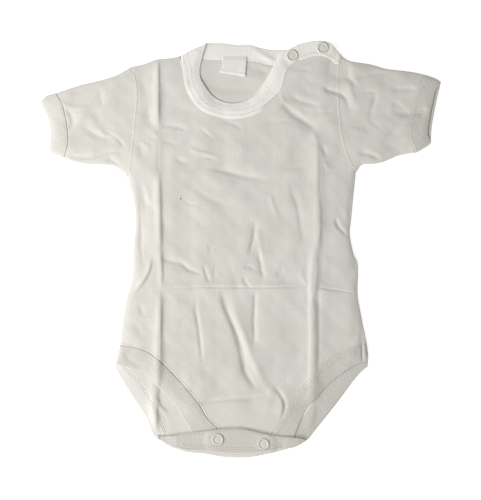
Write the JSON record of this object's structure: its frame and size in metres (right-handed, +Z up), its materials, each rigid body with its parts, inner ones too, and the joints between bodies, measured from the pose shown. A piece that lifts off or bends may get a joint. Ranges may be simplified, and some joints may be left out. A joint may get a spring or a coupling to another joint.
{
  "type": "baby onesie",
  "caption": "Short-sleeved baby bodysuit laid flat, with a rib neckband, a shoulder opening and a crotch flap closed by snaps.",
  "frame": {"origin": "on the surface that the garment lies on, under the middle of its outline", "axes": "+Z up, +Y from crotch to neck, +X to the sleeve on the shoulder opening's side"},
  "size_m": [0.3605, 0.3748, 0.0069],
  "materials": {
    "interlock": "soft cream cotton interlock knit",
    "rib": "cream cotton rib knit",
    "snap": "cream enamel",
    "label": "blank woven white tape"
  },
  "bodies": {
    "root": {"front_panel": "interlock", "back_panel": "interlock", "sleeve_left": "interlock", "sleeve_right": "interlock", "cuff_left": "rib", "cuff_right": "rib", "neck_band_front": "rib", "neck_band_back": "rib", "shoulder_placket_front": "rib", "shoulder_placket_back": "rib", "neck_label": "label", "leg_band_front_left": "rib", "leg_band_front_right": "rib", "leg_band_back_left": "rib", "leg_band_back_right": "rib", "crotch_band_front": "rib", "crotch_band_back": "rib", "snap_ring_shoulder_inner": "snap", "snap_ring_shoulder_outer": "snap", "snap_ring_crotch_left": "snap", "snap_ring_crotch_right": "snap", "snap_stud_shoulder_inner": "snap", "snap_stud_shoulder_outer": "snap", "snap_stud_crotch_left": "snap", "snap_stud_crotch_right": "snap"}
  },
  "joints": []
}
